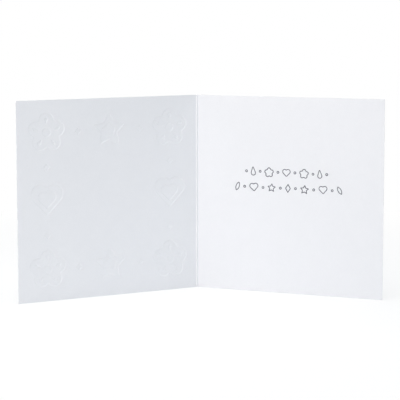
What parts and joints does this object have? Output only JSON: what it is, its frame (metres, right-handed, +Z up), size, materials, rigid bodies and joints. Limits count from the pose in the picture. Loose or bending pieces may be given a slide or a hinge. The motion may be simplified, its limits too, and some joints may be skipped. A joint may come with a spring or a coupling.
{
  "type": "greeting card",
  "caption": "Square folded greeting card in white board, standing open in a wide V, with a blind embossed border on the front cover.",
  "frame": {"origin": "centre of the footprint, on the surface the card stands on", "axes": "+Z up along the fold, +X from the front cover's free edge towards the back panel's, with the fold at the back (+Y) and the card open towards -Y"},
  "size_m": [0.2708, 0.0648, 0.15],
  "materials": {
    "board": "smooth uncoated white card with a faint tooth"
  },
  "bodies": {
    "root": {"card": "board"}
  },
  "joints": []
}
